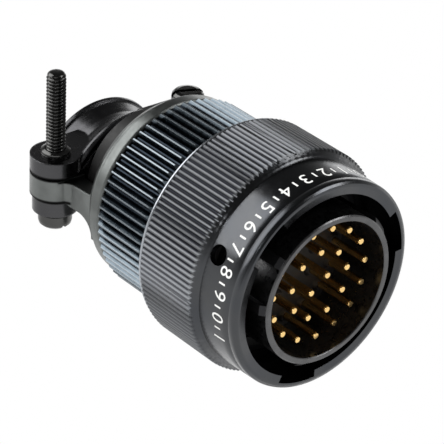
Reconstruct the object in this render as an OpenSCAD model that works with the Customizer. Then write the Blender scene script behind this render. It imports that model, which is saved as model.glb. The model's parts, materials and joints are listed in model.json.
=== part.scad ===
// Circular cable plug with a bayonet coupling ring, 26 male contacts and a saddle cable clamp.
// Millimetres. +X is the connector axis and points to the mating end, +Z is along the clamp
// screws, and the origin is on the axis at the front face of the coupling ring.

/* [Coupling ring] */
// Largest radius of the coupling ring, over the knurl
knurl_r = 16.55; // [14:0.05:20]
// Depth of the knurl
knurl_depth = 0.42; // [0.2:0.02:0.6]
// Number of knurl ridges
knurl_count = 128; // [60:1:140]
// Length of the coupling ring, front face to rear edge
ring_len = 18.6; // [16:0.1:24]
// Width of the smooth band between the front face and the knurl
band_len = 6.9; // [5:0.1:8]
// Radius of the band at its front
band_front_r = 15.25; // [14.8:0.05:16]
// Radius of the band where it meets the knurl
band_rear_r = 15.4; // [14.9:0.05:16]
// Radius of the opening in the front lip
lip_r = 13.35; // [12:0.05:14]
// Number of bayonet entry gaps, which are evenly spaced
gap_count = 3; // [3:1:3]
// Angular width of each entry gap
gap_span = 27; // [16:1:34]
// Clock angle of the first entry gap, counted from +Z towards -Y
gap_clock = 46; // [0:1:119]
// Thickness of the front lip at the low end of a ramp
lip_thick = 1.3; // [0.8:0.1:2]
// Rise of each ramp behind the lip
ramp_rise = 1.3; // [0.5:0.1:2]
// Clock angle of the round viewing hole
peep_clock = 63; // [0:1:359]
// Radius of the round viewing hole
peep_r = 1.35; // [0.8:0.05:1.6]

/* [Plug shell] */
// Outer radius of the barrel
barrel_r = 10.9; // [9:0.05:11.4]
// Inner radius of the barrel
barrel_bore_r = 10.0; // [8.8:0.05:10.4]
// Distance the barrel stands forward of the coupling ring's face
barrel_proud = 1.37; // [0.5:0.01:3]
// Width of a minor key
key_w = 1.5; // [0.8:0.1:2]
// Width of the master key
master_key_w = 2.9; // [2:0.1:3.4]
// Height of the keys over the barrel
key_h = 0.62; // [0.3:0.02:0.8]
// Depth of the insert's face behind the barrel's rim
insert_depth = 8.4; // [5:0.1:10]

/* [Contacts] */
// Radius of a contact pin
pin_r = 0.51; // [0.3:0.01:0.8]
// Distance of the pin tips behind the ring's front face
pin_tip_back = 0.46; // [0:0.01:3]
// Radius of the outer circle of pins
outer_circle_r = 8.2; // [7.6:0.05:8.6]
// Number of pins on the outer circle
outer_count = 15; // [8:1:15]
// Radius of the middle circle of pins
middle_circle_r = 4.95; // [4.2:0.05:5.4]
// Number of pins on the middle circle
middle_count = 9; // [5:1:9]
// Radius of the inner pair of pins
inner_circle_r = 1.63; // [1.3:0.01:2]

/* [Rear nut] */
// Radius over the ridges of the nut
nut_r = 14.5; // [13.4:0.05:16]
// Depth of the grooves between the ridges
nut_groove = 0.9; // [0.4:0.05:1.2]
// Number of ridges on the nut
nut_ridges = 68; // [30:1:80]
// Position of the nut's front edge behind the ring's front face
nut_front = 19.5; // [19.3:0.1:24]
// Length of the nut
nut_len = 10.65; // [9:0.05:14]

/* [Cable clamp] */
// Radius of the clamp body's rim
rim_r = 14.0; // [13:0.05:15]
// Width of the clamp body's rim
rim_w = 2.1; // [1.4:0.1:3]
// Distance of the clamp screws behind the ring's front face
screw_back = 43.1; // [42:0.1:48]
// Distance of each clamp screw from the axis
screw_y = 11.92; // [11.4:0.02:13]
// Radius of the body's ears and of a saddle's threaded ear
ear_r = 3.65; // [3.2:0.05:4]
// Radius of a saddle's plain ear, under the screw head
plain_ear_r = 3.3; // [3:0.05:3.8]
// Thickness of the clamp body's ears
body_ear_t = 3.5; // [2.4:0.1:4]
// Thickness of a saddle's ears
saddle_ear_t = 2.45; // [1.8:0.05:3]
// Gap between an ear of the body and an ear of a saddle
ear_gap = 0.2; // [0.1:0.05:0.6]
// Height of a saddle's rear lip over the axis
saddle_rear_top = 6.7; // [5.8:0.1:8]
// Height of a saddle's front lip over the axis
saddle_front_top = 8.2; // [7:0.1:9]
// Height of a saddle's waist over the axis
saddle_waist_top = 5.8; // [5.2:0.1:7]
// Distance of a saddle's rear edge behind the screws
saddle_rear = 5.9; // [4.8:0.1:7]
// Distance of a saddle's front edge ahead of the screws
saddle_front = 2.9; // [2.4:0.1:3.4]

/* [Clamp screws] */
// Thread radius of a clamp screw
screw_r = 1.4; // [1.1:0.05:1.6]
// Radius of a clamp screw's head
head_r = 2.45; // [2:0.05:2.8]
// Height of a clamp screw's head
head_h = 2.1; // [1.4:0.1:2.4]
// Height of a clamp screw's tip over the axis
screw_tip = 17.1; // [12:0.1:20]
// Thickness of a lock washer
washer_t = 0.6; // [0.3:0.05:0.8]
// Radius of the threaded boss on a saddle's ear
boss_r = 2.15; // [1.8:0.05:2.6]
// Height of the threaded boss
boss_h = 0.8; // [0.4:0.1:1.4]

/* [Hidden] */
$fn = 96;
eps = 0.01;
// clearances
run_gap = 0.05;
rest_gap = 0.05;
slide_gap = 0.15;
// coupling ring
knurl_root = knurl_r - knurl_depth;
knurl_start = band_len + 0.75;
lip_x = ring_len - 0.55;
ring_bore_r = band_rear_r - 0.45;
chamber_r = band_front_r - 0.75;
gap_r = band_front_r - 0.8;
stop_x = 9.4;
flange_r = ring_bore_r - run_gap;
flange_x0 = stop_x + rest_gap;
flange_x1 = flange_x0 + 1.75;
ramp_span = 360 / gap_count - gap_span;
// parts held in the rear of the coupling ring
wave_x0 = flange_x1 + rest_gap;
wave_t = 0.35;
wave_h = 1.7;
thrust_x0 = wave_x0 + wave_h + rest_gap;
thrust_t = 0.7;
snap_x0 = thrust_x0 + thrust_t + rest_gap;
snap_t = 0.7;
neck_r = 12.4;
// plug shell
shell_thread_r = 11.9;
shell_end = nut_front + nut_len * 0.62;
insert_x = insert_depth - barrel_proud;
insert_r = barrel_bore_r - 0.03;
shell_lip_r = barrel_bore_r - 0.8;
// insert stack, each thickness
seal_t = 0.9;
tower_h = 0.45;
front_t = 5.6;
disc_t = 1.4;
rear_t = 4.6;
grommet_t = 4.4;
follower_t = 1.6;
hole_gap = 0.03;
pin_body_r = 0.8;
pin_rear_r = 0.72;
front_x = insert_x + seal_t;
disc_x = front_x + front_t;
rear_x = disc_x + disc_t;
grommet_x = rear_x + rear_t;
follower_x = grommet_x + grommet_t;
follower_end = follower_x + follower_t;
// nut and clamp body
nut_end = nut_front + nut_len;
nut_bore_r = shell_thread_r + run_gap;
nut_throat_r = 11.2;
rim_x0 = nut_end + 0.3;
rim_x1 = rim_x0 + rim_w;
body_bore_r = 8.7;
throat_x = nut_end - 2.2;
collar_r = rim_r - 1.0;
collar_x1 = rim_x1 + 1.9;
ear_z = body_ear_t / 2;
saddle_z0 = ear_z + ear_gap;
saddle_z1 = saddle_z0 + saddle_ear_t;
head_z = saddle_z1 + washer_t;
screw_hole_r = screw_r + 0.25;
thread_hole_r = screw_r + run_gap;
saddle_axis_z = -4;
saddle_wall = 1.7;
saddle_xf = screw_back - saddle_front;
cheek_z = -1.3;
neck_out_r = 9.3;
neck_x1 = saddle_xf - 0.5;
arm_in = neck_out_r + 0.35;
// where the outside of a saddle's waist meets the top of its ears
arch_foot = sqrt(pow(saddle_waist_top - saddle_axis_z, 2) - pow(saddle_z1 - saddle_axis_z, 2)) - 0.1;

// turns a shape built on +Z, with depth counted rearwards, onto the connector axis
module on_axis() { rotate([0, -90, 0]) children(); }

// points local +X at a clock angle, which runs from the object's +Z towards -Y
module clock(a) { rotate([0, 0, -a]) children(); }

// a solid of revolution from [radius, depth] points
module lathe(points) { rotate_extrude($fn = 96) polygon(points); }

// a plain ring between two depths
module ring(r_out, r_in, d0, d1) {
    translate([0, 0, d0]) difference() {
        cylinder(r = r_out, h = d1 - d0);
        translate([0, 0, -1]) cylinder(r = r_in, h = d1 - d0 + 2);
    }
}

// a sector of a disc that is wider than the part
module wedge(span, d0, d1, reach = 30) {
    translate([0, 0, d0]) linear_extrude(height = d1 - d0)
        polygon([[0, 0], [reach * cos(span / 2), -reach * sin(span / 2)],
            [reach * 1.6, -reach * sin(span / 2)], [reach * 1.6, reach * sin(span / 2)],
            [reach * cos(span / 2), reach * sin(span / 2)]]);
}

// outline of a ridged cylinder: each ridge has a crest and a root, both flat
function ridged(n, crest, root, crest_share, root_share) = [for (i = [0:n - 1]) for (k = [0:3])
    let (p = 360 / n, c = p * crest_share / 2, v = p * root_share / 2,
        a = i * p + (k == 0 ? -c : k == 1 ? c : k == 2 ? p / 2 - v : p / 2 + v),
        r = k < 2 ? crest : root) [r * cos(a), r * sin(a)]];

// clock angle and circle radius of every contact
function contacts() = concat(
    [for (i = [0:outer_count - 1]) [12.5 + i * 360 / outer_count, outer_circle_r]],
    [for (i = [0:middle_count - 1]) [1 + i * 360 / middle_count, middle_circle_r]],
    [for (i = [0:1]) [124 + i * 180, inner_circle_r]]);

module at_contacts() {
    for (c = contacts()) clock(c[0]) translate([c[1], 0, 0]) children();
}

module coupling_ring() {
    color([0.20, 0.21, 0.23]) on_axis() difference() {
        union() {
            // knurled grip with a chamfer at each end
            intersection() {
                translate([0, 0, band_len - 0.4]) linear_extrude(height = ring_len - band_len + 0.4)
                    polygon(ridged(knurl_count, knurl_r, knurl_root, 0.22, 0.18));
                lathe([[chamber_r + 0.3, band_len - 0.4], [band_rear_r - 0.1, band_len - 0.4],
                    [band_rear_r - 0.1, band_len + 0.05], [knurl_r + 0.2, knurl_start + 0.15],
                    [knurl_r + 0.2, lip_x - 0.35], [knurl_root - 0.1, lip_x + 0.05],
                    [knurl_root - 0.1, ring_len - 0.2], [ring_bore_r, ring_len - 0.2],
                    [ring_bore_r, stop_x], [chamber_r, stop_x], [chamber_r, band_len]]);
            }
            // band with a rounded front corner
            lathe([[lip_r, 0], [band_front_r - 0.42, 0], [band_front_r - 0.12, 0.12],
                [band_front_r, 0.42], [band_front_r, 1.15], [band_front_r - 0.06, 1.25],
                [band_front_r + 0.02, 1.35], [band_rear_r, band_len], [chamber_r, band_len],
                [chamber_r, lip_thick], [lip_r, lip_thick]]);
            // smooth lip at the rear edge
            lathe([[ring_bore_r, lip_x], [knurl_r - 0.3, lip_x], [knurl_r - 0.2, lip_x + 0.1],
                [knurl_r - 0.2, ring_len - 0.25], [knurl_r - 0.45, ring_len],
                [ring_bore_r, ring_len]]);
            ramps();
        }
        for (i = [0:gap_count - 1]) clock(gap_clock + i * 360 / gap_count)
            intersection() {
                wedge(gap_span, -1, lip_thick + ramp_rise + 1);
                ring(gap_r, lip_r - 1.5, -1, lip_thick + ramp_rise + 1);
            }
        // viewing hole, drilled through the band
        translate([0, 0, band_len - 1.15]) clock(peep_clock) rotate([0, 90, 0])
            cylinder(r = peep_r, h = 30);
        // groove for the retaining ring
        ring(ring_bore_r + 0.5, ring_bore_r - 1, snap_x0 - rest_gap, snap_x0 + snap_t + rest_gap);
        // chamfer at the mouth of the rear bore
        translate([0, 0, ring_len - 0.35]) cylinder(r1 = ring_bore_r - 0.01,
            r2 = ring_bore_r + 0.42, h = 0.36);
    }
}

// behind the lip, one sloping ramp for each bayonet pin, with a detent notch at its high end
module ramps() {
    mid_r = (lip_r + gap_r) / 2;
    tilt = atan(ramp_rise / (mid_r * ramp_span * PI / 180));
    for (i = [0:gap_count - 1]) clock(gap_clock + (i + 0.5) * 360 / gap_count)
        difference() {
            intersection() {
                ring(chamber_r + 0.3, lip_r + 0.12, lip_thick - 0.3, lip_thick + ramp_rise);
                wedge(ramp_span - 0.5, 0, lip_thick + ramp_rise);
                translate([0, 0, lip_thick + ramp_rise / 2]) rotate([tilt, 0, 0])
                    translate([0, -20, -8]) cube([20, 40, 8]);
            }
            clock(-ramp_span / 2 + 8) translate([0, 0, lip_thick + ramp_rise + 0.1])
                rotate([0, 90, 0]) cylinder(r = 0.8, h = 20);
        }
}

module plug_shell() {
    color([0.26, 0.27, 0.29]) on_axis() difference() {
        union() {
            lathe([[barrel_bore_r, -barrel_proud + 0.12], [barrel_bore_r + 0.12, -barrel_proud],
                [barrel_r - 0.18, -barrel_proud], [barrel_r, -barrel_proud + 0.18],
                [barrel_r, flange_x0 - 1.2], [barrel_r + 0.5, flange_x0],
                [flange_r - 0.15, flange_x0], [flange_r, flange_x0 + 0.15],
                [flange_r, flange_x1 - 0.15], [flange_r - 0.15, flange_x1], [neck_r, flange_x1],
                [neck_r, snap_x0 + snap_t + 1.6], [shell_thread_r, snap_x0 + snap_t + 2.1],
                [shell_thread_r, shell_end - 0.5], [shell_thread_r - 0.5, shell_end],
                [barrel_bore_r, shell_end]]);
            keys();
            // shoulder that the insert stack rests on
            ring(barrel_bore_r + 0.2, shell_lip_r, rear_x + 0.4, rear_x + 1.4);
        }
        translate([0, 0, shell_end - 1]) cylinder(r1 = barrel_bore_r, r2 = barrel_bore_r + 0.4, h = 1.1);
    }
}

// five keys along the barrel, one of them wider
module keys() {
    key_clocks = [51, 86, 161, 211];
    intersection() {
        union() {
            for (a = key_clocks) clock(a) translate([barrel_r - 0.3, -key_w / 2, -barrel_proud])
                cube([key_h + 0.3, key_w, barrel_proud + flange_x0]);
            clock(306) translate([barrel_r - 0.3, -master_key_w / 2, -barrel_proud])
                cube([key_h + 0.3, master_key_w, barrel_proud + flange_x0]);
        }
        lathe([[barrel_r - 0.25, -barrel_proud + 0.3], [barrel_r + 0.1, -barrel_proud + 0.3],
            [barrel_r + key_h, -barrel_proud + 0.9], [barrel_r + key_h, flange_x0 + 0.3],
            [barrel_r - 0.25, flange_x0 + 0.3]]);
    }
}

// a sprung washer with three waves, as six sloping flats round the neck
module wave_washer() {
    waves = 3;
    rise = wave_h - wave_t;
    color([0.62, 0.63, 0.64]) on_axis() intersection() {
        ring(flange_r - 0.25, neck_r + 0.15, wave_x0, wave_x0 + wave_h);
        union() {
            for (i = [0:2 * waves - 1]) clock(i * 180 / waves) intersection() {
                wedge(180 / waves + 0.02, 0, 40);
                translate([0, 0, wave_x0 + wave_h / 2])
                    rotate([(i % 2 == 0 ? 1 : -1) * atan(rise / 13.9), 0, 0])
                    translate([0, -20, -wave_t / 2]) cube([24, 40, wave_t]);
            }
        }
    }
}

module thrust_washer() {
    color([0.55, 0.56, 0.58]) on_axis()
        ring(ring_bore_r - run_gap, neck_r + run_gap, thrust_x0, thrust_x0 + thrust_t);
}

// spiral ring that sits in the groove of the coupling ring, with a removal notch
module retaining_ring() {
    color([0.5, 0.51, 0.53]) on_axis() difference() {
        ring(ring_bore_r + 0.45, neck_r + 0.5, snap_x0, snap_x0 + snap_t);
        clock(200) translate([neck_r - 1, -0.45, snap_x0 - 1]) cube([6, 0.9, snap_t + 2]);
    }
}

// soft face seal with a low tower round each contact
module interfacial_seal() {
    color([0.07, 0.07, 0.07]) on_axis() difference() {
        union() {
            ring(insert_r, 0.0001, insert_x, insert_x + seal_t);
            at_contacts() translate([0, 0, insert_x - tower_h])
                cylinder(r1 = pin_r + 0.3, r2 = pin_r + 0.62, h = tower_h + 0.02);
        }
        at_contacts() translate([0, 0, insert_x - 1])
            cylinder(r = pin_r + hole_gap, h = seal_t + 2);
    }
}

// an insert disc that is drilled for the contacts
module drilled(d0, d1, hole_r, disc_r = insert_r) {
    difference() {
        translate([0, 0, d0]) cylinder(r = disc_r, h = d1 - d0);
        at_contacts() translate([0, 0, d0 - 1]) cylinder(r = hole_r, h = d1 - d0 + 2);
    }
}

module front_insert() {
    color([0.10, 0.09, 0.08]) on_axis()
        drilled(front_x + rest_gap, disc_x, pin_r + hole_gap);
}

module retention_disc() {
    color([0.35, 0.33, 0.28]) on_axis()
        drilled(disc_x + rest_gap, rear_x, pin_body_r + hole_gap);
}

module rear_insert() {
    color([0.12, 0.11, 0.10]) on_axis() union() {
        drilled(rear_x + rest_gap, rear_x + 0.35, pin_rear_r + hole_gap);
        drilled(rear_x + 0.3, grommet_x, pin_rear_r + hole_gap, shell_lip_r - 0.05);
    }
}

module wire_grommet() {
    color([0.30, 0.12, 0.09]) on_axis()
        drilled(grommet_x + rest_gap, follower_x, pin_rear_r + 0.12);
}

module grommet_follower() {
    color([0.45, 0.46, 0.48]) on_axis()
        drilled(follower_x + rest_gap, follower_end, pin_rear_r + 0.35);
}

// male contacts: nose, pin, retention shoulder and a hollow wire barrel
module pin_contacts() {
    tip = pin_tip_back;
    bare_x = insert_x - tower_h - 0.05;
    color([0.85, 0.65, 0.25]) on_axis() at_contacts() difference() {
        union() {
            translate([0, 0, tip + pin_r * 0.6]) sphere(r = pin_r * 0.995);
            lathe([[0, tip + pin_r * 0.6], [pin_r, tip + pin_r * 0.6], [pin_r, bare_x],
                [pin_r - 0.02, bare_x + 0.02], [pin_r - 0.02, disc_x + 0.1],
                [pin_body_r, disc_x + 0.1], [pin_body_r, rear_x - 0.1],
                [pin_rear_r, rear_x - 0.1], [pin_rear_r, grommet_x + 2.4],
                [0, grommet_x + 2.4]]);
        }
        translate([0, 0, tip - 1]) cylinder(r = 1, h = 1);
        translate([0, 0, grommet_x - 1.6]) cylinder(r = 0.45, h = 5);
    }
}

// soft ring round the foot of the barrel
module mating_gasket() {
    color([0.05, 0.05, 0.05]) on_axis()
        ring(barrel_r + 2.2, barrel_r + key_h + 0.3, flange_x0 - 0.9, flange_x0 - 0.01);
}

module ridged_nut() {
    bevel = nut_groove + 0.15;
    color([0.42, 0.47, 0.52]) on_axis() difference() {
        intersection() {
            translate([0, 0, nut_front]) linear_extrude(height = nut_len)
                polygon(ridged(nut_ridges, nut_r, nut_r - nut_groove, 0.16, 0.16));
            lathe([[0, nut_front], [nut_r - bevel, nut_front], [nut_r + 0.1, nut_front + 1.5],
                [nut_r + 0.1, nut_end - 0.4], [nut_r - 0.55, nut_end], [0, nut_end]]);
        }
        translate([0, 0, nut_front - 1]) cylinder(r = nut_bore_r, h = throat_x - nut_front + 1);
        translate([0, 0, nut_front - 1]) cylinder(r = nut_throat_r + run_gap, h = nut_len + 2);
        translate([0, 0, nut_front - eps]) cylinder(r1 = nut_bore_r + 0.5, r2 = nut_bore_r, h = 0.5);
    }
}

// the clamp body is the same after half a turn about the connector axis
module clamp_body() {
    color([0.50, 0.52, 0.54]) difference() {
        union() {
            on_axis() lathe([[body_bore_r, throat_x - 1.3], [nut_bore_r - 0.2, throat_x - 1.3],
                [nut_bore_r - 0.2, throat_x - rest_gap], [nut_throat_r, throat_x - rest_gap],
                [nut_throat_r, rim_x0], [rim_r - 0.25, rim_x0], [rim_r, rim_x0 + 0.25],
                [rim_r, rim_x1 - 0.3], [rim_r - 0.3, rim_x1], [collar_r, rim_x1],
                [collar_r - 0.05, collar_x1 - 0.9], [collar_r - 0.35, collar_x1 - 0.3],
                [collar_r - 0.9, collar_x1], [body_bore_r, collar_x1]]);
            arm();
            rotate([180, 0, 0]) arm();
        }
        for (s = [-1, 1]) translate([-screw_back, s * screw_y, -10])
            cylinder(r = screw_hole_r, h = 20);
        on_axis() translate([0, 0, throat_x - 3]) cylinder(r = body_bore_r, h = 40);
    }
}

// an arm to the ear on the -Y side: plan shape crossed with side shape
module arm() {
    y_ear = -screw_y;
    x_rim = -rim_x1 + 0.4;
    top = ear_z - 0.4;
    low = -ear_z - 0.65;
    flare = 3;
    xc = -collar_x1;
    x_flat = -screw_back + plain_ear_r + slide_gap;
    intersection() {
        // plan: the ear, and a wall that leaves it near its middle
        translate([0, 0, -rim_r]) linear_extrude(height = 2 * rim_r) union() {
            translate([-screw_back, y_ear]) circle(r = ear_r);
            polygon([[-screw_back + 2, y_ear - 2.2], [-screw_back + ear_r - 0.05, y_ear - 0.95],
                [-screw_back + ear_r + 0.75, y_ear - 0.45], [xc, y_ear - 0.2],
                [x_rim, y_ear - 0.2], [x_rim, -arm_in], [-saddle_xf + 0.9, -arm_in],
                [-screw_back + 2.6, y_ear + ear_r - 0.6], [-screw_back, y_ear + ear_r]]);
        }
        // side: level at the ear, a small step, then a round corner up and a flare down
        rotate([90, 0, 0]) linear_extrude(height = 20) difference() {
            polygon([[-screw_back - ear_r - 1, -ear_z], [x_flat, -ear_z], [x_flat + 0.95, low],
                [xc - flare + 0.1, low], [xc - flare + 0.1, low - flare], [x_rim, low - flare],
                [x_rim, top + 1.5], [x_flat, top + 1.5], [x_flat - 0.2, ear_z],
                [-screw_back - ear_r - 1, ear_z]]);
            // flare under the arm
            translate([xc - flare + 0.1, low - flare]) circle(r = flare);
            // pocket over the arm
            translate([xc - 1.1, top + 1.5]) circle(r = 1.5);
            translate([x_flat - 0.35, top]) square([xc - 1.1 - x_flat + 0.35, 8]);
        }
    }
}

// rubber bushing that the cable comes through: a sleeve in the clamp body and a thick neck
module cable_bushing() {
    r = body_bore_r - 0.05;
    r_in = r - 2.6;
    d0 = collar_x1 + rest_gap;
    color([0.06, 0.06, 0.06]) on_axis()
        lathe([[r_in, throat_x - 1.2], [r, throat_x - 1.2], [r, d0], [neck_out_r, d0],
            [neck_out_r, neck_x1 - 0.6], [neck_out_r - 0.6, neck_x1], [r_in + 0.6, neck_x1],
            [r_in, neck_x1 - 0.6]]);
}

// saddle bar over the cable: two flat ears, a waisted arch and a guide cheek
module saddle() {
    xr = screw_back + saddle_rear;
    xf = saddle_xf;
    c = -saddle_axis_z;
    rr = saddle_rear_top + c;
    rf = saddle_front_top + c;
    rw = saddle_waist_top + c;
    difference() {
        union() {
            intersection() {
                translate([0, 0, saddle_axis_z]) on_axis() lathe([
                    [rw - saddle_wall, xf + 3.4], [rf - 1.5, xf + 0.25], [rf - 1.1, xf],
                    [rf - 0.3, xf], [rf, xf + 0.35], [rf - 0.05, xf + 0.8],
                    [rw + 1.5, xf + 1.7], [rw + 0.6, xf + 2.8], [rw + 0.1, xf + 4.2],
                    [rw, xf + 5.3], [rw + 0.2, xf + 6.6], [rr - 0.45, xr - 1.0],
                    [rr - 0.4, xr - 0.9], [rr - 0.1, xr - 0.75], [rr, xr - 0.3],
                    [rr - 0.2, xr], [rr - 0.8, xr], [rr - 1.3, xr - 0.5],
                    [rw - saddle_wall, xf + 5.9]]);
                translate([-60, -screw_y + 0.6, saddle_z0])
                    cube([40, 2 * screw_y - 1.2, 20]);
            }
            saddle_ear(ear_r);
            scale([1, -1, 1]) saddle_ear(plain_ear_r);
            // guide cheek inboard of the body's ear
            translate([-screw_back - 2.2, -screw_y + ear_r + slide_gap, cheek_z])
                cube([2.2 + saddle_front - 0.3, 1.2, saddle_z1 - cheek_z]);
        }
        for (s = [-1, 1]) translate([-screw_back, s * screw_y, -10])
            cylinder(r = s < 0 ? thread_hole_r : screw_hole_r, h = 30);
    }
}

module saddle_ear(r) {
    translate([0, 0, saddle_z0]) linear_extrude(height = saddle_ear_t) union() {
        translate([-screw_back, -screw_y]) circle(r = r);
        polygon([[-screw_back + r - 0.4, -screw_y], [-saddle_xf - 0.3, -screw_y + 0.9],
            [-saddle_xf - 0.3, -arch_foot], [-screw_back - 3.6, -arch_foot],
            [-screw_back - r + 0.05, -screw_y + 0.6]]);
    }
}

module upper_saddle() { color([0.13, 0.13, 0.14]) saddle(); }

module lower_saddle() { color([0.13, 0.13, 0.14]) rotate([180, 0, 0]) saddle(); }

// slotted cheese-head screw, head down
module clamp_screw(slot_turn) {
    difference() {
        union() {
            translate([0, 0, -head_z]) cylinder(r = screw_r, h = head_z + screw_tip - 0.3);
            translate([0, 0, screw_tip - 0.3]) cylinder(r1 = screw_r, r2 = screw_r - 0.3, h = 0.3);
            lathe([[0, -head_z - head_h], [head_r - 1, -head_z - head_h],
                [head_r - 0.45, -head_z - head_h + 0.15], [head_r - 0.1, -head_z - head_h + 0.5],
                [head_r, -head_z - head_h + 0.95], [head_r, -head_z], [0, -head_z]]);
        }
        translate([0, 0, -head_z - head_h]) rotate([0, 0, slot_turn])
            cube([3 * head_r, 0.75, 1.7], center = true);
    }
}

module left_screw() {
    color([0.1, 0.1, 0.11]) translate([-screw_back, -screw_y, 0]) clamp_screw(35);
}

module right_screw() {
    color([0.1, 0.1, 0.11]) translate([-screw_back, screw_y, 0]) rotate([180, 0, 0])
        clamp_screw(15);
}

// split spring washer under a screw head
module lock_washer() {
    translate([0, 0, -head_z + 0.02]) difference() {
        cylinder(r = head_r - 0.1, h = washer_t - 0.04);
        translate([0, 0, -1]) cylinder(r = screw_hole_r, h = washer_t + 2);
        rotate([0, 0, 140]) translate([0, -0.15, -1]) cube([5, 0.3, washer_t + 2]);
    }
}

module left_lock_washer() {
    color([0.2, 0.2, 0.21]) translate([-screw_back, -screw_y, 0]) lock_washer();
}

module right_lock_washer() {
    color([0.2, 0.2, 0.21]) translate([-screw_back, screw_y, 0]) rotate([180, 0, 0]) lock_washer();
}

// threaded insert pressed into a saddle's ear, with two grooves round its collar
module threaded_boss() {
    z0 = saddle_z1 + 0.01;
    difference() {
        lathe([[thread_hole_r, z0], [boss_r, z0], [boss_r, z0 + 0.22], [boss_r - 0.12, z0 + 0.28],
            [boss_r - 0.12, z0 + 0.34], [boss_r - 0.02, z0 + 0.4], [boss_r - 0.05, z0 + 0.55],
            [boss_r - 0.3, z0 + boss_h - 0.1], [boss_r - 0.5, z0 + boss_h],
            [thread_hole_r, z0 + boss_h]]);
        translate([0, 0, z0 + boss_h]) cylinder(r1 = thread_hole_r, r2 = thread_hole_r + 0.1, h = 0.1);
    }
}

module left_boss() {
    color([0.22, 0.22, 0.23]) translate([-screw_back, -screw_y, 0]) threaded_boss();
}

module right_boss() {
    color([0.22, 0.22, 0.23]) translate([-screw_back, screw_y, 0]) rotate([180, 0, 0])
        threaded_boss();
}

coupling_ring();
plug_shell();
wave_washer();
thrust_washer();
retaining_ring();
interfacial_seal();
front_insert();
retention_disc();
rear_insert();
wire_grommet();
grommet_follower();
pin_contacts();
mating_gasket();
ridged_nut();
clamp_body();
cable_bushing();
upper_saddle();
lower_saddle();
left_screw();
right_screw();
left_lock_washer();
right_lock_washer();
left_boss();
right_boss();
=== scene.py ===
import json
import logging
import math
from dataclasses import dataclass
from enum import Enum

import bpy
from mathutils import Matrix, Vector


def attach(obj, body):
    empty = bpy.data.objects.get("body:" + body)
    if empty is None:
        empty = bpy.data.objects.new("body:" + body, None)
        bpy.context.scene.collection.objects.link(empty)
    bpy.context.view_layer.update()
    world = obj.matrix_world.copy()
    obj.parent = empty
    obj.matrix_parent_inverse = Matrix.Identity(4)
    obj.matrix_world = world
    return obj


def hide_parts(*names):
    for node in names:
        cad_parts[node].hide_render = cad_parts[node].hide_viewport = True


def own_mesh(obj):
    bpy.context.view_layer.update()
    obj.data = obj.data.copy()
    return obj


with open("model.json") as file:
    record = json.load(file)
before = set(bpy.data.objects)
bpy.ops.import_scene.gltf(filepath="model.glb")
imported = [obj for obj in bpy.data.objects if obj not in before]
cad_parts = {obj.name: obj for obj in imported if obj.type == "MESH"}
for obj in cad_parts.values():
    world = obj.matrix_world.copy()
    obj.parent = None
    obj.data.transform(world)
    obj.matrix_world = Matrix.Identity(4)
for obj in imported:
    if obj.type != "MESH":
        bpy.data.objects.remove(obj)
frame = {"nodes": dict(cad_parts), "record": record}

LOG = logging.getLogger("plug_scene")
MM = 0.001
Colour = tuple[float, float, float]

# painted shade beside the gap between two stacked ears: its colour and roughness, and how far
# from the gap's middle it is full and gone, in mm
GAP_SHADE_COLOUR = (0.008, 0.008, 0.008)
GAP_SHADE_ROUGH = 0.6
GAP_SHADE_FULL = 0.12
GAP_SHADE_GONE = 0.34
# where the ears begin on the axis, and the length over which a look comes in there, in mm
EARS_FROM = -38.6
AXIS_FADE = 0.3
# depth of the bump for a height of 1, in metres
BUMP_DEPTH = 0.02 * MM
# edges of a threaded screw that turn by more than this look sharp, in degrees
SHARP_ANGLE = 35.0
# where the floor is and half its width, in metres
FLOOR_HEIGHT = -0.03
FLOOR_REACH = 0.6


class Socket(str, Enum):
    """Socket types used on node group interfaces."""

    FLOAT = "NodeSocketFloat"
    VECTOR = "NodeSocketVector"


class Body(str, Enum):
    """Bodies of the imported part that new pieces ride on."""

    SHELL = "shell"
    RING = "ring"
    LEFT_SCREW = "left_clamp_screw"
    RIGHT_SCREW = "right_clamp_screw"


@dataclass(frozen=True)
class Crest:
    """Colour laid on from a radius outwards: on the ridged nut and ring a lighter colour on the
    ridges' tops, a painted highlight along the crests; on the shell a darker colour from radius
    11 outwards.

    Attributes:
        colour: the colour.
        start: radius from the connector axis where it begins, in millimetres.
        full: radius where it is full.
        rough: roughness of the crests.
        metallic: metallic value of the crests.
    """

    colour: Colour
    start: float
    full: float
    rough: float = 0.25
    metallic: float = 0.9


@dataclass(frozen=True)
class GrooveShade:
    """Painted shade: a dark colour at the bottom of the grooves between ridges.

    Attributes:
        colour: the colour.
        over: radius over which the grooves are, in millimetres.
        under: radius under which the grooves are dark.
        behind: position on the axis behind which the grooves are.
        start: how soon the dark is full over the over radius.
        fade: how far the dark reaches over the under radius.
    """

    colour: Colour
    over: float
    under: float
    behind: float = -8.1
    start: float = 0.1
    fade: float = 0.12


@dataclass(frozen=True)
class EdgeHighlight:
    """A pale band round the rear edge: a painted highlight line along it.

    Attributes:
        colour: the colour.
        behind: position on the axis where it begins, in millimetres.
        fade: length over which it comes in.
    """

    colour: Colour
    behind: float
    fade: float = 0.15


@dataclass(frozen=True)
class Rounding:
    """Flanks and a front lip that look rounder than they are.

    Attributes:
        over: radius over which the ridges' flanks look rounder, in millimetres.
        amount: how much rounder.
        fade: radius over which that comes in.
        lip: inner and outer radius of the front lip.
        lip_amount: turn of the lip's surface at those two radii.
        lip_front: positions on the axis between which the lip's turn comes in.
    """

    over: float
    amount: float
    fade: float = 0.2
    lip: tuple[float, float] = (14.3, 15.2)
    lip_amount: tuple[float, float] = (-0.25, 0.85)
    lip_front: tuple[float, float] = (-0.12, -0.02)


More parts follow.
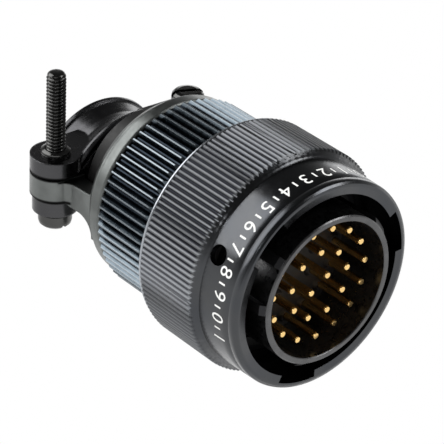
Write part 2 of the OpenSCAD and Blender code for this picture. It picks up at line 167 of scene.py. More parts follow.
@dataclass(frozen=True)
class Finish:
    """How one kind of surface looks.

    Attributes:
        base: main colour.
        low: colour of darker patches.
        metallic: Principled metallic value.
        rough: mean roughness.
        rough_var: how far roughness wanders.
        turned: height of turning marks, which run round the axis.
        grain: height of the fine grain.
        patch: how strongly the low colour shows in soft patches.
        bevel: radius in millimetres by which edges look rounded, 0 for none.
        scale: grain size control; larger is finer.
        crest: colour laid on from a radius outwards, such as the painted highlight on the ridges'
            tops, if it has one.
        groove: painted shade at the bottoms of the ridges, if it has it.
        edge: a painted highlight line round the rear edge, if it has one.
        rounding: how its flanks and lip are rounded, if they are.
        seam: height off the middle plane, in millimetres, of painted shade beside a gap between
            stacked ears, 0 for none.
    """

    base: Colour
    low: Colour
    metallic: float = 0.0
    rough: float = 0.4
    rough_var: float = 0.1
    turned: float = 0.0
    grain: float = 0.1
    patch: float = 0.3
    bevel: float = 0.0
    scale: float = 900.0
    crest: Crest | None = None
    groove: GrooveShade | None = None
    edge: EdgeHighlight | None = None
    rounding: Rounding | None = None
    seam: float = 0.0


class FinishBook:
    """Every finish of the part, by the record's material slot."""

    # the ring's crest is a painted highlight on the knurl's tops, its groove a painted shade
    # between the knurl's ridges, and its edge a painted highlight line round the rear edge
    RING = Finish((0.078, 0.080, 0.083), (0.055, 0.060, 0.070), metallic=1.0, rough=0.22,
                  rough_var=0.05, turned=0.2, grain=0.05, patch=0.5, bevel=0.06,
                  crest=Crest((0.12, 0.125, 0.133), 16.28, 16.45, 0.3),
                  groove=GrooveShade((0.016, 0.017, 0.021), 15.6, 16.2),
                  edge=EdgeHighlight((0.40, 0.42, 0.45), -17.98), rounding=Rounding(15.6, 0.55))
    SHELL = Finish((0.125, 0.125, 0.127), (0.08, 0.08, 0.082), metallic=1.0, rough=0.32,
                   turned=0.3, bevel=0.1, patch=0.6, scale=1800.0,
                   crest=Crest((0.03, 0.03, 0.032), 10.95, 11.0, 0.4))
    # the nut's crest is a painted highlight on its ridges' tops, and its groove a painted shade
    # between the ridges
    NUT = Finish((0.115, 0.14, 0.16), (0.085, 0.105, 0.125), metallic=1.0, rough=0.27,
                 turned=0.1, bevel=0.03, crest=Crest((0.18, 0.205, 0.225), 14.34, 14.48),
                 groove=GrooveShade((0.02, 0.026, 0.034), 12.5, 14.05))
    # the clamp and the saddle are darkened beside the gap between their stacked ears: painted
    # shade
    CLAMP = Finish((0.18, 0.19, 0.185), (0.085, 0.09, 0.088), metallic=1.0, rough=0.36,
                   rough_var=0.08, grain=0.25, bevel=0.35, scale=1100.0, patch=0.6, seam=1.75)
    SADDLE = Finish((0.075, 0.075, 0.078), (0.05, 0.05, 0.053), metallic=1.0, rough=0.24,
                    rough_var=0.06, grain=0.06, bevel=0.35, seam=1.95)
    SCREW = Finish((0.085, 0.085, 0.083), (0.04, 0.04, 0.039), metallic=1.0, rough=0.22,
                   rough_var=0.08, grain=0.12, bevel=0.03)
    STEEL = Finish((0.42, 0.42, 0.41), (0.25, 0.25, 0.24), metallic=1.0, rough=0.3, turned=0.3)
    GOLD = Finish((1.0, 0.68, 0.28), (0.75, 0.45, 0.14), metallic=1.0, rough=0.15,
                  rough_var=0.04, grain=0.04, scale=3000.0)
    PLASTIC = Finish((0.012, 0.010, 0.009), (0.006, 0.005, 0.005), rough=0.42, grain=0.1)
    DISC = Finish((0.28, 0.24, 0.17), (0.18, 0.15, 0.1), rough=0.5)
    SEAL = Finish((0.006, 0.0055, 0.0055), (0.004, 0.004, 0.004), rough=0.5, grain=0.25)
    GROMMET = Finish((0.18, 0.05, 0.03), (0.1, 0.03, 0.02), rough=0.6, grain=0.4)
    PAINT = Finish((0.86, 0.86, 0.84), (0.7, 0.7, 0.68), rough=0.55, grain=0.1, patch=0.3,
                   scale=2500.0)

    SLOTS: dict[str, Finish] = {
        "ring_metal": RING, "shell_metal": SHELL, "nut_metal": NUT, "clamp_metal": CLAMP,
        "saddle_black": SADDLE, "screw_black": SCREW, "spring_steel": STEEL,
        "contact_gold": GOLD, "insert_plastic": PLASTIC, "disc_plastic": DISC,
        "seal_rubber": SEAL, "grommet_rubber": GROMMET,
    }


def add_object(name: str, data: bpy.types.ID) -> bpy.types.Object:
    """Add an object to the scene.

    Args:
        name: object name.
        data: its mesh, light, camera or curve.

    Returns:
        The object.
    """
    obj = bpy.data.objects.new(name, data)
    bpy.context.scene.collection.objects.link(obj)
    return obj


def calc(tree: bpy.types.NodeTree, operation: str,
         *values: float | bpy.types.NodeSocket) -> bpy.types.NodeSocket:
    """Add a math node.

    Args:
        tree: tree to add to.
        operation: math operation.
        values: numbers or sockets, in order.

    Returns:
        The result's socket.
    """
    node = tree.nodes.new("ShaderNodeMath")
    node.operation = operation
    for socket, value in zip(node.inputs, values):
        if isinstance(value, (int, float)):
            socket.default_value = value
        else:
            tree.links.new(value, socket)
    return node.outputs[0]


def vector_calc(tree: bpy.types.NodeTree, operation: str,
                *values: Colour | bpy.types.NodeSocket) -> bpy.types.NodeSocket:
    """Add a vector math node.

    Args:
        tree: tree to add to.
        operation: vector math operation.
        values: vectors or sockets, in order.

    Returns:
        The result's socket.
    """
    node = tree.nodes.new("ShaderNodeVectorMath")
    node.operation = operation
    for socket, value in zip(node.inputs, values):
        if isinstance(value, tuple):
            socket.default_value = value
        else:
            tree.links.new(value, socket)
    return node.outputs[0]


def map_range(tree: bpy.types.NodeTree, value: bpy.types.NodeSocket,
              source: tuple[float, float],
              result: tuple[float, float] = (0.0, 1.0)) -> bpy.types.NodeSocket:
    """Map a value from one range to another, held at both ends.

    Args:
        tree: tree to add to.
        value: socket to map.
        source: start and end of the source range.
        result: results at those two.

    Returns:
        The mapped socket.
    """
    node = tree.nodes.new("ShaderNodeMapRange")
    for label, number in zip(("From Min", "From Max", "To Min", "To Max"), source + result):
        node.inputs[label].default_value = number
    tree.links.new(value, node.inputs["Value"])
    return node.outputs[0]


def mix_colour(tree: bpy.types.NodeTree, a: Colour | bpy.types.NodeSocket, b: Colour,
               factor: bpy.types.NodeSocket) -> bpy.types.NodeSocket:
    """Mix a colour with a fixed colour.

    Args:
        tree: tree to add to.
        a: colour or socket at 0.
        b: colour at 1.
        factor: mixing socket.

    Returns:
        The colour socket.
    """
    node = tree.nodes.new("ShaderNodeMix")
    node.data_type = "RGBA"
    if isinstance(a, tuple):
        node.inputs[6].default_value = (*a, 1.0)
    else:
        tree.links.new(a, node.inputs[6])
    node.inputs[7].default_value = (*b, 1.0)
    tree.links.new(factor, node.inputs[0])
    return node.outputs[2]


def mix_value(tree: bpy.types.NodeTree, a: bpy.types.NodeSocket, b: float,
              factor: bpy.types.NodeSocket) -> bpy.types.NodeSocket:
    """Mix a value with a number.

    Args:
        tree: tree to add to.
        a: value socket at 0.
        b: number at 1.
        factor: mixing socket.

    Returns:
        The value socket.
    """
    node = tree.nodes.new("ShaderNodeMix")
    node.data_type = "FLOAT"
    tree.links.new(a, node.inputs[2])
    node.inputs[3].default_value = b
    tree.links.new(factor, node.inputs[0])
    return node.outputs[0]


def use_group(tree: bpy.types.NodeTree, group: bpy.types.NodeTree,
              **inputs: bpy.types.NodeSocket) -> bpy.types.Node:
    """Add a node group to a tree.

    Args:
        tree: tree to add to.
        group: the group.
        inputs: sockets for its inputs, by name.

    Returns:
        The group's node.
    """
    node = tree.nodes.new("ShaderNodeGroup")
    node.node_tree = group
    for label, value in inputs.items():
        tree.links.new(value, node.inputs[label])
    return node


class Effects:
    """Shader node groups shared by the materials. Each is built once."""

    def __init__(self) -> None:
        """Build the groups."""
        self.place = self._place()
        self.grain = self._grain()
        self.turned = self._turned()
        self.soft = self._soft()

    @staticmethod
    def _new(name: str, inputs: dict[str, Socket], outputs: dict[str, Socket]
             ) -> tuple[bpy.types.NodeTree, bpy.types.Node, bpy.types.Node]:
        """Start a node group.

        Args:
            name: group name.
            inputs: type of each input, by name.
            outputs: type of each output, by name.

        Returns:
            The tree, its input node and its output node.
        """
        tree = bpy.data.node_groups.new(name, "ShaderNodeTree")
        for in_out, sockets in (("INPUT", inputs), ("OUTPUT", outputs)):
            for label, kind in sockets.items():
                tree.interface.new_socket(name=label, in_out=in_out, socket_type=kind.value)
        return tree, tree.nodes.new("NodeGroupInput"), tree.nodes.new("NodeGroupOutput")

    def _place(self) -> bpy.types.NodeTree:
        """Where a point is: from the axis, along it and off the middle plane, in millimetres.

        Returns:
            The node group.
        """
        tree, _, out = self._new("axis_place", {}, {
            "Radius": Socket.FLOAT, "Along": Socket.FLOAT, "Height": Socket.FLOAT,
            "Vector": Socket.VECTOR})
        where = tree.nodes.new("ShaderNodeTexCoord")
        split = tree.nodes.new("ShaderNodeSeparateXYZ")
        tree.links.new(where.outputs["Object"], split.inputs[0])
        square = calc(tree, "ADD", calc(tree, "POWER", split.outputs["Y"], 2.0),
                      calc(tree, "POWER", split.outputs["Z"], 2.0))
        radius = calc(tree, "MULTIPLY", calc(tree, "SQRT", square), 1.0 / MM)
        along = calc(tree, "MULTIPLY", split.outputs["X"], 1.0 / MM)
        height = calc(tree, "ABSOLUTE", calc(tree, "MULTIPLY", split.outputs["Z"], 1.0 / MM))
        tree.links.new(radius, out.inputs["Radius"])
        tree.links.new(along, out.inputs["Along"])
        tree.links.new(height, out.inputs["Height"])
        tree.links.new(where.outputs["Object"], out.inputs["Vector"])
        return tree

    def _grain(self) -> bpy.types.NodeTree:
        """Fine grain and soft patches.

        Returns:
            The node group.
        """
        tree, source, out = self._new("surface_grain",
                                      {"Vector": Socket.VECTOR, "Scale": Socket.FLOAT},
                                      {"Fine": Socket.FLOAT, "Patch": Socket.FLOAT})
        fine = tree.nodes.new("ShaderNodeTexNoise")
        fine.inputs["Detail"].default_value = 6.0
        fine.inputs["Roughness"].default_value = 0.6
        tree.links.new(source.outputs["Vector"], fine.inputs["Vector"])
        tree.links.new(source.outputs["Scale"], fine.inputs["Scale"])
        patch = tree.nodes.new("ShaderNodeTexNoise")
        patch.inputs["Detail"].default_value = 3.0
        tree.links.new(source.outputs["Vector"], patch.inputs["Vector"])
        tree.links.new(calc(tree, "MULTIPLY", source.outputs["Scale"], 0.18),
                       patch.inputs["Scale"])
        tree.links.new(fine.outputs[0], out.inputs["Fine"])
        tree.links.new(map_range(tree, patch.outputs[0], (0.38, 0.66)), out.inputs["Patch"])
        return tree

    def _turned(self) -> bpy.types.NodeTree:
        """Faint turning marks round the connector axis.

        Returns:
            The node group.
        """
        tree, source, out = self._new("turning_marks",
                                      {"Along": Socket.FLOAT, "Radius": Socket.FLOAT},
                                      {"Height": Socket.FLOAT})
        join = tree.nodes.new("ShaderNodeCombineXYZ")
        tree.links.new(source.outputs["Along"], join.inputs["X"])
        tree.links.new(source.outputs["Radius"], join.inputs["Y"])
        noise = tree.nodes.new("ShaderNodeTexNoise")
        noise.inputs["Scale"].default_value = 9.0
        noise.inputs["Detail"].default_value = 4.0
        noise.inputs["Roughness"].default_value = 0.7
        tree.links.new(join.outputs[0], noise.inputs["Vector"])
        tree.links.new(noise.outputs[0], out.inputs["Height"])
        return tree

    def _soft(self) -> bpy.types.NodeTree:
        """Normals drawn towards the line from the connector axis, as on rounded ridges.

        Returns:
            The node group.
        """
        tree, source, out = self._new(
            "soft_ridges", {"Normal": Socket.VECTOR, "Vector": Socket.VECTOR,
                            "Amount": Socket.FLOAT}, {"Normal": Socket.VECTOR})
        flat = vector_calc(tree, "MULTIPLY", source.outputs["Vector"], (0.0, 1.0, 1.0))
        turn = tree.nodes.new("ShaderNodeVectorTransform")
        turn.vector_type = "NORMAL"
        turn.convert_from = "OBJECT"
        turn.convert_to = "WORLD"
        tree.links.new(flat, turn.inputs[0])
        pull = tree.nodes.new("ShaderNodeVectorMath")
        pull.operation = "SCALE"
        tree.links.new(vector_calc(tree, "NORMALIZE", turn.outputs[0]), pull.inputs[0])
        tree.links.new(source.outputs["Amount"], pull.inputs["Scale"])
        total = vector_calc(tree, "ADD", source.outputs["Normal"], pull.outputs[0])
        tree.links.new(vector_calc(tree, "NORMALIZE", total), out.inputs["Normal"])
        return tree


@dataclass(frozen=True)
class Layer:
    """A look laid over part of a finish.

    Attributes:
        mask: where it lies.
        colour: its colour.
        rough: its roughness, or None to keep what is under it.
        metallic: its metallic value, or None to keep what is under it.
    """

    mask: bpy.types.NodeSocket
    colour: Colour
    rough: float | None = None
    metallic: float | None = None


class MaterialMaker:
    """Builds and keeps one material for each finish."""

    def __init__(self, effects: Effects) -> None:
        """Start with no materials.

        Args:
            effects: shared node groups.
        """
        self.effects = effects
        self.made: dict[str, bpy.types.Material] = {}

    def get(self, name: str, finish: Finish) -> bpy.types.Material:
        """The material of a finish, built on first use.

        Args:
            name: material name.
            finish: its values.

        Returns:
            The material.
        """
        if name not in self.made:
            self.made[name] = self._build(name, finish)
        return self.made[name]

    def _build(self, name: str, f: Finish) -> bpy.types.Material:
        """Build one material.

        Args:
            name: material name.
            f: its finish.

        Returns:
            The material.
        """
        mat = bpy.data.materials.new(name)
        mat.use_nodes = True
        tree = mat.node_tree
        shader = tree.nodes["Principled BSDF"]
        place = use_group(tree, self.effects.place)
        grain = use_group(tree, self.effects.grain, Vector=place.outputs["Vector"])
        grain.inputs["Scale"].default_value = f.scale

        colour = mix_colour(tree, f.base, f.low,
                            calc(tree, "MULTIPLY", grain.outputs["Patch"], f.patch))
        rough = map_range(tree, grain.outputs["Fine"], (0.3, 0.7),
                          (f.rough - f.rough_var, f.rough + f.rough_var))
        shader.inputs["Metallic"].default_value = f.metallic
        for layer in self._layers(tree, place, f):
            colour = mix_colour(tree, colour, layer.colour, layer.mask)
            if layer.rough is not None:
                rough = mix_value(tree, rough, layer.rough, layer.mask)
            if layer.metallic is not None:
                metallic = map_range(tree, layer.mask, (0.0, 1.0), (f.metallic, layer.metallic))
                tree.links.new(metallic, shader.inputs["Metallic"])
        tree.links.new(colour, shader.inputs["Base Color"])
        tree.links.new(rough, shader.inputs["Roughness"])
        tree.links.new(self._normal(tree, place, grain, f), shader.inputs["Normal"])
        return mat

    @staticmethod
    def _layers(tree: bpy.types.NodeTree, place: bpy.types.Node, f: Finish) -> list[Layer]:
        """What is laid over the main look, lowest first.

        Args:
            tree: tree to add to.
            place: node that says where a point is.
            f: the finish.

        Returns:
            The layers.
        """
        layers = []
        radius, along = place.outputs["Radius"], place.outputs["Along"]
        # painted highlight on the ridges' tops; on the shell a darker colour from radius 11
        # outwards
        if f.crest:
            mask = map_range(tree, radius, (f.crest.start, f.crest.full))
            layers.append(Layer(mask, f.crest.colour, f.crest.rough, f.crest.metallic))
        # painted shade at the bottom of the grooves between ridges
        if f.groove:
            under = map_range(tree, radius, (f.groove.under + f.groove.fade, f.groove.under))
            over = map_range(tree, radius, (f.groove.over, f.groove.over + f.groove.start))
            behind = map_range(tree, along, (f.groove.behind, f.groove.behind - AXIS_FADE))
            mask = calc(tree, "MULTIPLY", calc(tree, "MULTIPLY", under, over), behind)
            layers.append(Layer(mask, f.groove.colour))
        # painted shade beside the gap between two stacked ears
        if f.seam > 0.0:
            off = calc(tree, "ABSOLUTE", calc(tree, "SUBTRACT", place.outputs["Height"], f.seam))
            near = map_range(tree, off, (GAP_SHADE_FULL, GAP_SHADE_GONE), (1.0, 0.0))
            ears = map_range(tree, along, (EARS_FROM, EARS_FROM - AXIS_FADE))
            layers.append(Layer(calc(tree, "MULTIPLY", near, ears), GAP_SHADE_COLOUR, GAP_SHADE_ROUGH))
        # painted highlight line round the rear edge
        if f.edge:
            mask = map_range(tree, along, (f.edge.behind, f.edge.behind - f.edge.fade))
            layers.append(Layer(mask, f.edge.colour))
        return layers

    def _normal(self, tree: bpy.types.NodeTree, place: bpy.types.Node, grain: bpy.types.Node,
                f: Finish) -> bpy.types.NodeSocket:
        """The surface's normal, with rounded edges, rounded ridges and fine bumps.

        Args:
            tree: tree to add to.
            place: node that says where a point is.
            grain: node with the fine grain.
            f: the finish.

        Returns:
            The normal's socket.
        """
        height = calc(tree, "MULTIPLY", grain.outputs["Fine"], f.grain)
        if f.turned > 0.0:
            turned = use_group(tree, self.effects.turned, Along=place.outputs["Along"],
                               Radius=place.outputs["Radius"])
            height = calc(tree, "ADD", height,
                          calc(tree, "MULTIPLY", turned.outputs["Height"], f.turned))
        bump = tree.nodes.new("ShaderNodeBump")
        bump.inputs["Distance"].default_value = BUMP_DEPTH
        tree.links.new(height, bump.inputs["Height"])
        if f.bevel > 0.0:
            bevel = tree.nodes.new("ShaderNodeBevel")
            bevel.samples = 4
            bevel.inputs["Radius"].default_value = f.bevel * MM
            normal = bevel.outputs[0]
            if f.rounding:
                normal = self._rounded(tree, place, f.rounding, normal)
            tree.links.new(normal, bump.inputs["Normal"])
        return bump.outputs[0]

    def _rounded(self, tree: bpy.types.NodeTree, place: bpy.types.Node, rounding: Rounding,
                 normal: bpy.types.NodeSocket) -> bpy.types.NodeSocket:
        """Round the ridges' flanks and the front lip.

        Args:
            tree: tree to add to.
            place: node that says where a point is.
            rounding: how much and where.
            normal: the normal's socket so far.

        Returns:
            The new normal's socket.
        """
        radius, along = place.outputs["Radius"], place.outputs["Along"]
        flanks = map_range(tree, radius, (rounding.over, rounding.over + rounding.fade),
                           (0.0, rounding.amount))
        tilt = map_range(tree, radius, rounding.lip, rounding.lip_amount)
        front = map_range(tree, along, rounding.lip_front)
        amount = calc(tree, "ADD", flanks, calc(tree, "MULTIPLY", tilt, front))
        soft = use_group(tree, self.effects.soft, Normal=normal,
                         Vector=place.outputs["Vector"], Amount=amount)
        return soft.outputs[0]


@dataclass
class Markings:
    """Plain numerals and ticks round the band of the coupling ring.

    Attributes:
        radius: surface radius at the numerals, in millimetres.
        along: position of the numerals' middle on the axis, in millimetres.
        size: height of a numeral, in millimetres.
        first: clock angle of the first numeral, in degrees.
        step: angle between numerals, in degrees.
        count: number of numerals.
        slope: rise of the band's radius for each millimetre rearwards.
        tick: half the width and half the height of a tick, in millimetres.
        capital: height of the font's numerals as a share of its size.
    """

    radius: float = 15.332
    along: float = -3.3
    size: float = 2.1
    first: float = -32.0
    step: float = 12.5
    count: int = 12
    slope: float = 0.024
    tick: tuple[float, float] = (0.13, 0.55)
    capital: float = 0.7

    def build(self, material: bpy.types.Material) -> bpy.types.Object:
        """Build the marks as one mesh that lies on the band.

        Args:
            material: paint material.

        Returns:
            The mesh object.
        """
        verts: list[tuple[float, float, float]] = []
        faces: list[tuple[int, ...]] = []
        wide, high = self.tick
        tick = [(-wide, -high), (wide, -high), (wide, high), (-wide, high)]
        for i in range(self.count):
            points, polygons = self._glyph(str(i % 10))
            self._wrap(points, polygons, self.first + i * self.step, verts, faces)
            if i < self.count - 1:
                self._wrap(tick, [(0, 1, 2, 3)], self.first + (i + 0.5) * self.step, verts, faces)
        mesh = bpy.data.meshes.new("band_numerals")
        mesh.from_pydata(verts, [], faces)
        mesh.materials.append(material)
        obj = add_object("band_numerals", mesh)
        LOG.info("band_numerals: %d faces", len(faces))
        return obj

    def _glyph(self, text: str) -> tuple[list[tuple[float, float]], list[tuple[int, ...]]]:
        """Outline of one numeral, centred, in millimetres.

        Args:
            text: the numeral.

        Returns:
            Points and polygons.
        """
        curve = bpy.data.curves.new("glyph", "FONT")
        curve.body = text
        curve.size = self.size / self.capital
        curve.resolution_u = 4
        curve.align_x = "CENTER"
        curve.align_y = "CENTER"
        holder = add_object("glyph", curve)
        bpy.context.view_layer.update()
        mesh = holder.to_mesh()
        points = [(v.co.x, v.co.y) for v in mesh.vertices]
        polygons = [tuple(p.vertices) for p in mesh.polygons]
        holder.to_mesh_clear()
        bpy.data.objects.remove(holder)
        bpy.data.curves.remove(curve)
        return points, polygons

    def _wrap(self, points: list[tuple[float, float]], polygons: list[tuple[int, ...]],
              clock: float, verts: list[tuple[float, float, float]],
              faces: list[tuple[int, ...]]) -> None:
        """Lay flat points on the band and add them to the mesh lists.

        Args:
            points: flat points, x along the band and y towards the mating end.
            polygons: their polygons.
            clock: clock angle of the glyph's middle, in degrees.
            verts: mesh vertices, added to.
            faces: mesh faces, added to.
        """
        base = len(verts)
        for x, y in points:
            along = self.along + y
            radius = self.radius - self.slope * (along - self.along)
            angle = math.radians(clock) + x / self.radius
            verts.append((along * MM, -radius * math.sin(angle) * MM,
                          radius * math.cos(angle) * MM))
        faces.extend(tuple(base + k for k in polygon) for polygon in polygons)


@dataclass
class ThreadedScrew:
    """A clamp screw with its real thread, in place of the plain CAD screw.

    Attributes:
        node: CAD node it stands for.
        body: body it rides on.
        y: position across the part, in millimetres.
        turned_over: True if the head is on top.
        x: position along the axis, in millimetres.
        major: thread crest radius.
        minor: thread root radius.
        pitch: thread pitch.
        head_z: height of the head's bearing face, below the axis.
        tip: height of the screw's tip.
        twist: how far the head is turned from its CAD angle, in degrees.
        flank: where in half a pitch the flank begins, and how long it is.
        tip_round: radius of the tip's rounding.
        tip_inset: how far inside the crest the rounding's centre is.
        around: points round the shank.
        rows_per_pitch: rows of points for each pitch.
        slack: how far a vertex of the head may lie past the bearing face.
        start: distance from the bearing face to the thread's first row.
    """

    node: str
    body: Body
    y: float
    turned_over: bool
    twist: float = 0.0
    x: float = -43.1
    major: float = 1.395
    minor: float = 1.07
    pitch: float = 0.529
    head_z: float = 5.0
    tip: float = 17.1
    flank: tuple[float, float] = (0.1, 0.72)
    tip_round: float = 0.7
    tip_inset: float = 0.75
    around: int = 40
    rows_per_pitch: int = 10
    slack: float = 0.001
    start: float = 0.02

    def build(self, material: bpy.types.Material) -> bpy.types.Object:
        """Build the screw: the head keeps the CAD shape, the shank gets a helical thread.

        Args:
            material: screw material.

        Returns:
            The mesh object.
        """
        source = frame["nodes"][self.node].data
        sign = -1.0 if self.turned_over else 1.0
        verts: list[tuple[float, float, float]] = []
        faces: list[tuple[int, ...]] = []
        index: dict[int, int] = {}
        limit = -(self.head_z - self.slack) * MM
        centre = Vector((self.x * MM, self.y * MM, 0.0))
        turn = (Matrix.Translation(centre) @ Matrix.Rotation(math.radians(self.twist), 4, "Z")
                @ Matrix.Translation(-centre))
        for polygon in source.polygons:
            ids = list(polygon.vertices)
            if all(source.vertices[k].co.z * sign <= limit for k in ids):
                face = []
                for k in ids:
                    if k not in index:
                        index[k] = len(verts)
                        verts.append(tuple(turn @ source.vertices[k].co))
                    face.append(index[k])
                faces.append(tuple(face))
        self._thread(sign, verts, faces)
        mesh = bpy.data.meshes.new(self.node + "_threaded")
        mesh.from_pydata(verts, [], faces)
        mesh.materials.append(material)
        mesh.validate()
        mesh.shade_smooth()
        mesh.set_sharp_from_angle(angle=math.radians(SHARP_ANGLE))
        obj = add_object(self.node + "_threaded", mesh)
        LOG.info("%s: %d faces", obj.name, len(faces))
        return obj

    def _thread(self, sign: float, verts: list[tuple[float, float, float]],
                faces: list[tuple[int, ...]]) -> None:
        """Add the threaded shank.

        Args:
            sign: 1 with the head at the bottom, -1 with the head on top.
            verts: mesh vertices, added to.
            faces: mesh faces, added to.
        """
        bottom = -self.head_z + self.start
        rows = int((self.tip - bottom) / self.pitch * self.rows_per_pitch)
        base = len(verts)
        for j in range(rows + 1):
            z = bottom + (self.tip - bottom) * j / rows
            for i in range(self.around):
                angle = 2 * math.pi * i / self.around
                radius = self._radius(z, i / self.around)
                verts.append(((self.x + radius * math.cos(angle)) * MM,
                              (self.y + sign * radius * math.sin(angle)) * MM, sign * z * MM))
        for j in range(rows):
            row = base + j * self.around
            for i in range(self.around):
                a, b = row + i, row + (i + 1) % self.around
                faces.append((a, b, b + self.around, a + self.around))
        faces.append(tuple(base + rows * self.around + i for i in range(self.around)))

    def _radius(self, z: float, turn: float) -> float:
        """Radius of the thread at a point.

        Args:
            z: height of the point, in millimetres.
            turn: how far round it is, as a share of a turn.

        Returns:
            The radius in millimetres.
        """
        ramp = abs(2.0 * ((z / self.pitch - turn) % 1.0) - 1.0)
        begin, length = self.flank
        shape = min(1.0, max(0.0, (ramp - begin) / length))
        radius = self.minor + (self.major - self.minor) * shape
        into_tip = self.tip_round - (self.tip - z)
        if into_tip > 0.0:
            rounded = math.sqrt(max(0.0, self.tip_round ** 2 - into_tip ** 2))
            radius = min(radius, self.major - self.tip_inset + rounded)
        return radius


@dataclass
class DrilledRing:
    """The coupling ring with its round viewing hole, in place of the plain CAD ring.

    Attributes:
        clock: clock angle of the hole, in degrees.
        along: position of the hole on the axis, in millimetres.
        radius: radius of the hole, in millimetres.
        inside: radius at which the drill stops, in millimetres.
        outside: radius at which the drill starts, in millimetres.
        sides: sides of the drill.
    """

    clock: float = 63.0
    along: float = -5.5
    radius: float = 1.4
    inside: float = 14.0
    outside: float = 17.0
    sides: int = 48

    def build(self) -> bpy.types.Object:
        """Cut the hole through the band.

        Returns:
            The mesh object.
        """
        drill = self._drill()
        source = frame["nodes"]["coupling_ring"]
        obj = add_object("coupling_ring_drilled", source.data.copy())
        cut = obj.modifiers.new("viewing_hole", "BOOLEAN")
        cut.operation = "DIFFERENCE"
        cut.solver = "EXACT"
        cut.object = drill
        bpy.context.view_layer.update()
        result = obj.evaluated_get(bpy.context.evaluated_depsgraph_get())
        mesh = bpy.data.meshes.new_from_object(result)
        obj.modifiers.clear()
        obj.data = mesh
        bpy.data.objects.remove(drill)
        LOG.info("%s: %d faces", obj.name, len(mesh.polygons))
        return obj

    def _drill(self) -> bpy.types.Object:
        """Make the drill, a many-sided cylinder that points outwards.

        Returns:
            The mesh object.
        """
        sides = self.sides
        angle = math.radians(self.clock)
        out = Vector((0.0, -math.sin(angle), math.cos(angle)))
        side = out.cross(Vector((1.0, 0.0, 0.0)))
        verts = []
        for reach in (self.inside, self.outside):
            for k in range(sides):
                turn = 2.0 * math.pi * k / sides
                point = (Vector((self.along + self.radius * math.cos(turn), 0.0, 0.0))
                         + side * self.radius * math.sin(turn) + out * reach)
                verts.append(tuple(point * MM))
        faces = [tuple(range(sides - 1, -1, -1)), tuple(range(sides, 2 * sides))]
        faces += [(k, (k + 1) % sides, sides + (k + 1) % sides, sides + k) for k in range(sides)]
        mesh = bpy.data.meshes.new("drill")
        mesh.from_pydata(verts, [], faces)
        mesh.update()
        return add_object("drill", mesh)


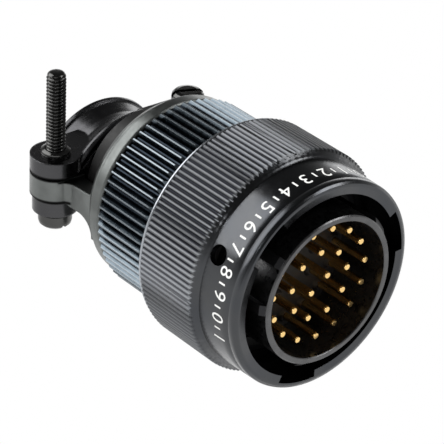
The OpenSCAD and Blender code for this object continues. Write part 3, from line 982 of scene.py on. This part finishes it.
@dataclass
class Studio:
    """Camera, light and background.

    Attributes:
        azimuth: camera azimuth in degrees.
        elevation: camera elevation in degrees.
        roll: camera roll in degrees.
        distance: camera distance in metres.
        target: point the camera looks at, in metres.
        lens: focal length in millimetres.
        sensor: width of the sensor in millimetres.
        plain: level of the surround for light that spreads over matt surfaces.
        heights: brightness of the surround in reflections, as pairs of a height and a level;
            height 0 is straight down, 0.5 the horizon and 1 straight up.
    """

    azimuth: float = 48.51
    elevation: float = 30.73
    roll: float = 3.10
    distance: float = 0.3129
    target: tuple[float, float, float] = (-0.02062, 0.0, -0.00017)
    lens: float = 184.0
    sensor: float = 36.0
    plain: float = 0.75
    heights: tuple[tuple[float, float], ...] = (
        (0.0, 0.95), (0.5, 0.95), (0.565, 0.5), (0.665, 0.22), (0.75, 0.1), (1.0, 0.07))

    def camera(self) -> None:
        """Place the camera."""
        az, el, roll = (math.radians(v) for v in (self.azimuth, self.elevation, self.roll))
        back = Vector((math.sin(az) * math.cos(el), -math.cos(az) * math.cos(el), math.sin(el)))
        right = Vector((math.cos(az), math.sin(az), 0.0))
        up = right.cross(-back)
        turned_right = right * math.cos(roll) + up * math.sin(roll)
        turned_up = up * math.cos(roll) - right * math.sin(roll)
        data = bpy.data.cameras.new("camera")
        data.lens = self.lens
        data.sensor_width = self.sensor
        data.clip_start = 0.01
        obj = add_object("camera", data)
        matrix = Matrix((turned_right, turned_up, back)).transposed().to_4x4()
        matrix.translation = Vector(self.target) + back * self.distance
        obj.matrix_world = matrix
        bpy.context.scene.camera = obj

    def _from_below(self, tree: bpy.types.NodeTree) -> bpy.types.NodeSocket:
        """Brightness of the surround by height: pale at and under the horizon, dark above.

        Args:
            tree: the world's tree.

        Returns:
            The colour socket.
        """
        where = tree.nodes.new("ShaderNodeTexCoord")
        split = tree.nodes.new("ShaderNodeSeparateXYZ")
        tree.links.new(where.outputs["Generated"], split.inputs[0])
        ramp = tree.nodes.new("ShaderNodeValToRGB")
        while len(ramp.color_ramp.elements) < len(self.heights):
            ramp.color_ramp.elements.new(0.5)
        for element, (position, level) in zip(ramp.color_ramp.elements, self.heights):
            element.position = position
            element.color = (level, level, level, 1.0)
        tree.links.new(map_range(tree, split.outputs["Z"], (-1.0, 1.0)), ramp.inputs[0])
        return ramp.outputs[0]

    def world(self) -> None:
        """White behind the part; the part itself sees a pale ground and a dark room."""
        world = bpy.data.worlds.new("studio")
        bpy.context.scene.world = world
        world.use_nodes = True
        tree = world.node_tree
        path = tree.nodes.new("ShaderNodeLightPath")
        spread = mix_colour(tree, self._from_below(tree), (self.plain,) * 3,
                            path.outputs["Is Diffuse Ray"])
        white = mix_colour(tree, spread, (1.0, 1.0, 1.0), path.outputs["Is Camera Ray"])
        tree.links.new(white, tree.nodes["Background"].inputs[0])
        bpy.context.scene.view_settings.view_transform = "Standard"

    @staticmethod
    def floor(height: float, reach: float) -> None:
        """A plain pale floor under the part, which can't be seen from below.

        Args:
            height: its height in metres.
            reach: half its width in metres.
        """
        mesh = bpy.data.meshes.new("floor")
        mesh.from_pydata([(-reach, -reach, height), (reach, -reach, height),
                          (reach, reach, height), (-reach, reach, height)], [], [(0, 1, 2, 3)])
        mat = bpy.data.materials.new("floor_white")
        mat.use_nodes = True
        tree = mat.node_tree
        tree.nodes.clear()
        glow = tree.nodes.new("ShaderNodeEmission")
        clear = tree.nodes.new("ShaderNodeBsdfTransparent")
        side = tree.nodes.new("ShaderNodeNewGeometry")
        mix = tree.nodes.new("ShaderNodeMixShader")
        out = tree.nodes.new("ShaderNodeOutputMaterial")
        tree.links.new(side.outputs["Backfacing"], mix.inputs[0])
        tree.links.new(glow.outputs[0], mix.inputs[1])
        tree.links.new(clear.outputs[0], mix.inputs[2])
        tree.links.new(mix.outputs[0], out.inputs["Surface"])
        mesh.materials.append(mat)
        obj = add_object("floor", mesh)

    def softbox(self, name: str, toward: tuple[float, float, float], distance: float,
                size: tuple[float, float], radiance: float) -> None:
        """Add a rectangular softbox that only the part sees, with one edge along the axis.

        Args:
            name: light name.
            toward: direction from the part to the light.
            distance: distance in metres.
            size: width along the axis and round it, in metres.
            radiance: brightness of its face.
        """
        data = bpy.data.lights.new(name, "AREA")
        data.shape = "RECTANGLE"
        data.size, data.size_y = size
        data.energy = radiance * size[0] * size[1] * math.pi
        obj = add_object(name, data)
        obj.visible_camera = False
        back = Vector(toward).normalized()
        around = back.cross(Vector((1.0, 0.0, 0.0))).normalized()
        along = around.cross(back)
        obj.matrix_world = (Matrix.Translation(Vector(self.target) + back * distance)
                            @ Matrix((along, around, back)).transposed().to_4x4())


def dress(maker: MaterialMaker) -> None:
    """Give every CAD node its material, by the record's slot.

    Args:
        maker: material maker.
    """
    slots = {part["node"]: part["material_slot"] for part in frame["record"]["subparts"]}
    for name, obj in frame["nodes"].items():
        slot = slots[name]
        obj.data.materials.clear()
        obj.data.materials.append(maker.get(slot, FinishBook.SLOTS[slot]))
        LOG.info("%s: %s", name, slot)


def add_spring() -> None:
    """A copy of the wave washer riding on the shell, in place of the CAD one; the real washer
    flattens as the ring is pulled forward, but this copy keeps its CAD shape.
    """
    obj = add_object("wave_washer_sprung", frame["nodes"]["wave_washer"].data.copy())
    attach(obj, Body.SHELL.value)
    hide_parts("wave_washer")
    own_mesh(obj)


def add_pieces(maker: MaterialMaker) -> None:
    """Build the pieces that CAD leaves plain.

    Args:
        maker: material maker.
    """
    marks = Markings().build(maker.get("white_paint", FinishBook.PAINT))
    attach(marks, Body.RING.value)
    ring = DrilledRing().build()
    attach(ring, Body.RING.value)
    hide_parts("coupling_ring")
    add_spring()
    screw = maker.get("screw_black", FinishBook.SCREW)
    for spec in (ThreadedScrew("left_screw", Body.LEFT_SCREW, -11.92, False, -35.0),
                 ThreadedScrew("right_screw", Body.RIGHT_SCREW, 11.92, True, 80.0)):
        obj = spec.build(screw)
        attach(obj, spec.body.value)
        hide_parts(spec.node)


def light_studio() -> None:
    """Camera, surround and softboxes."""
    studio = Studio()
    studio.camera()
    studio.world()
    studio.floor(FLOOR_HEIGHT, FLOOR_REACH)
    # large box at the left: the broad sheen on the band, the rim and the saddle
    studio.softbox("left_box", (-0.644, -0.47, 0.60), 0.35, (0.3, 0.33), 3.3)
    # lit backdrop behind the part, low: the pale sheen along its upper right side
    studio.softbox("backdrop", (-0.644, 0.76, -0.08), 0.35, (0.34, 0.2), 1.0)
    # small box at the upper right: the pale line on the slope ahead of the knurl
    studio.softbox("slope_box", (0.51, 0.57, 0.64), 0.4, (0.16, 0.16), 5.5)
    # small front light over the camera's left shoulder: glints on the pin tips
    studio.softbox("front", (0.45, -0.75, 0.65), 0.45, (0.045, 0.045), 14.0)


def main() -> None:
    """Build the whole scene."""
    logging.basicConfig(level=logging.INFO, format="%(name)s: %(message)s")
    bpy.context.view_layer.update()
    maker = MaterialMaker(Effects())
    dress(maker)
    add_pieces(maker)
    light_studio()


if __name__ == "__main__":
    main()
